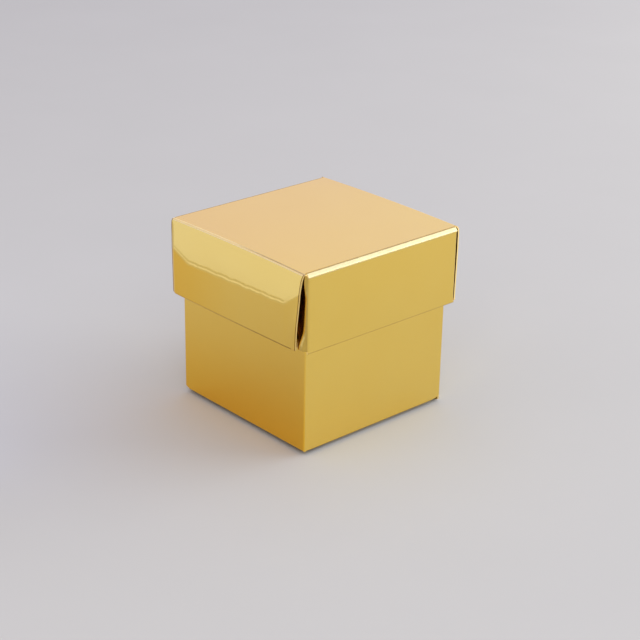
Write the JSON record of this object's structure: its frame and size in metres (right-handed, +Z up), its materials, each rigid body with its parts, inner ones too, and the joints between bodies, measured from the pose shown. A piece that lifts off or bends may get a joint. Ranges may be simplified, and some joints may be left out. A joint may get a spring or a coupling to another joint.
{
  "type": "favor box",
  "caption": "Small square two-part gift box of folded gold foil card: a loose lift-off lid with tucked corner ears over a sleeve with a tuck bottom.",
  "frame": {"origin": "centre of the box's footprint, on the surface that it stands on", "axes": "+Z up through the lid, -Y out of the front cover skirt, +X out of the right ear skirt"},
  "size_m": [0.0544, 0.0544, 0.0514],
  "materials": {
    "gold_foil_card": "gloss"
  },
  "bodies": {
    "base": {"base_front_wall": "gold_foil_card", "base_right_wall": "gold_foil_card", "base_back_wall": "gold_foil_card", "base_left_wall": "gold_foil_card", "base_seam_flap": "gold_foil_card"},
    "bottom_panel": {"bottom_panel": "gold_foil_card"},
    "bottom_tuck_tongue": {"bottom_tuck_tongue": "gold_foil_card"},
    "bottom_dust_flap_left": {"bottom_dust_flap_left": "gold_foil_card"},
    "bottom_dust_flap_right": {"bottom_dust_flap_right": "gold_foil_card"},
    "lid_top": {"lid_top": "gold_foil_card"},
    "lid_front_cover": {"lid_front_cover_skirt": "gold_foil_card", "lid_front_cover_hem": "gold_foil_card"},
    "lid_back_cover": {"lid_back_cover_skirt": "gold_foil_card", "lid_back_cover_hem": "gold_foil_card"},
    "lid_right_skirt": {"lid_right_ear_skirt": "gold_foil_card"},
    "lid_left_skirt": {"lid_left_ear_skirt": "gold_foil_card"},
    "lid_ear_front_right": {"lid_ear_front_right": "gold_foil_card"},
    "lid_ear_front_left": {"lid_ear_front_left": "gold_foil_card"},
    "lid_ear_back_right": {"lid_ear_back_right": "gold_foil_card"},
    "lid_ear_back_left": {"lid_ear_back_left": "gold_foil_card"}
  },
  "joints": [
    {"name": "lid_lift", "type": "slide", "parent": "base", "child": "lid_top", "axis": [0, 0, 1], "range_m": [0, 0.06]},
    {"name": "lid_front_cover_fold", "type": "hinge", "parent": "lid_top", "child": "lid_front_cover", "pos_m": [0, -0.02711, 0.05131], "axis": [-1, 0, 0], "range_deg": [0, 90]},
    {"name": "lid_back_cover_fold", "type": "hinge", "parent": "lid_top", "child": "lid_back_cover", "pos_m": [0, 0.02711, 0.05131], "axis": [1, 0, 0], "range_deg": [0, 90]},
    {"name": "lid_right_skirt_fold", "type": "hinge", "parent": "lid_top", "child": "lid_right_skirt", "pos_m": [0.02711, 0, 0.05131], "axis": [0, -1, 0], "range_deg": [0, 90]},
    {"name": "lid_left_skirt_fold", "type": "hinge", "parent": "lid_top", "child": "lid_left_skirt", "pos_m": [-0.02711, 0, 0.05131], "axis": [0, 1, 0], "range_deg": [0, 90]},
    {"name": "lid_ear_front_right_fold", "type": "hinge", "parent": "lid_right_skirt", "child": "lid_ear_front_right", "pos_m": [0.02711, -0.02611, 0.0397], "axis": [0, 0, 1], "range_deg": [0, 90]},
    {"name": "lid_ear_front_left_fold", "type": "hinge", "parent": "lid_left_skirt", "child": "lid_ear_front_left", "pos_m": [-0.02711, -0.02611, 0.0397], "axis": [0, 0, -1], "range_deg": [0, 90]},
    {"name": "lid_ear_back_right_fold", "type": "hinge", "parent": "lid_right_skirt", "child": "lid_ear_back_right", "pos_m": [0.02711, 0.02611, 0.0397], "axis": [0, 0, -1], "range_deg": [0, 90]},
    {"name": "lid_ear_back_left_fold", "type": "hinge", "parent": "lid_left_skirt", "child": "lid_ear_back_left", "pos_m": [-0.02711, 0.02611, 0.0397], "axis": [0, 0, 1], "range_deg": [0, 90]},
    {"name": "bottom_panel_fold", "type": "hinge", "parent": "base", "child": "bottom_panel", "pos_m": [0, -0.02491, 0.00009], "axis": [-1, 0, 0], "range_deg": [0, 90]},
    {"name": "bottom_tuck_tongue_fold", "type": "hinge", "parent": "bottom_panel", "child": "bottom_tuck_tongue", "pos_m": [0, 0.0238, 0], "axis": [-1, 0, 0], "range_deg": [0, 45]},
    {"name": "bottom_dust_flap_left_fold", "type": "hinge", "parent": "base", "child": "bottom_dust_flap_left", "pos_m": [-0.02491, 0, 0.00059], "axis": [0, 1, 0], "range_deg": [0, 90]},
    {"name": "bottom_dust_flap_right_fold", "type": "hinge", "parent": "base", "child": "bottom_dust_flap_right", "pos_m": [0.02491, 0, 0.00059], "axis": [0, -1, 0], "range_deg": [0, 90]}
  ],
  "couplings": [
    {"joint": "lid_ear_front_right_fold", "follows": "lid_front_cover_fold", "ratio": 1},
    {"joint": "lid_ear_front_left_fold", "follows": "lid_front_cover_fold", "ratio": 1},
    {"joint": "lid_ear_back_right_fold", "follows": "lid_back_cover_fold", "ratio": 1},
    {"joint": "lid_ear_back_left_fold", "follows": "lid_back_cover_fold", "ratio": 1},
    {"joint": "bottom_tuck_tongue_fold", "follows": "bottom_panel_fold", "ratio": 0.5},
    {"joint": "bottom_dust_flap_left_fold", "follows": "bottom_panel_fold", "ratio": 1},
    {"joint": "bottom_dust_flap_right_fold", "follows": "bottom_panel_fold", "ratio": 1}
  ]
}
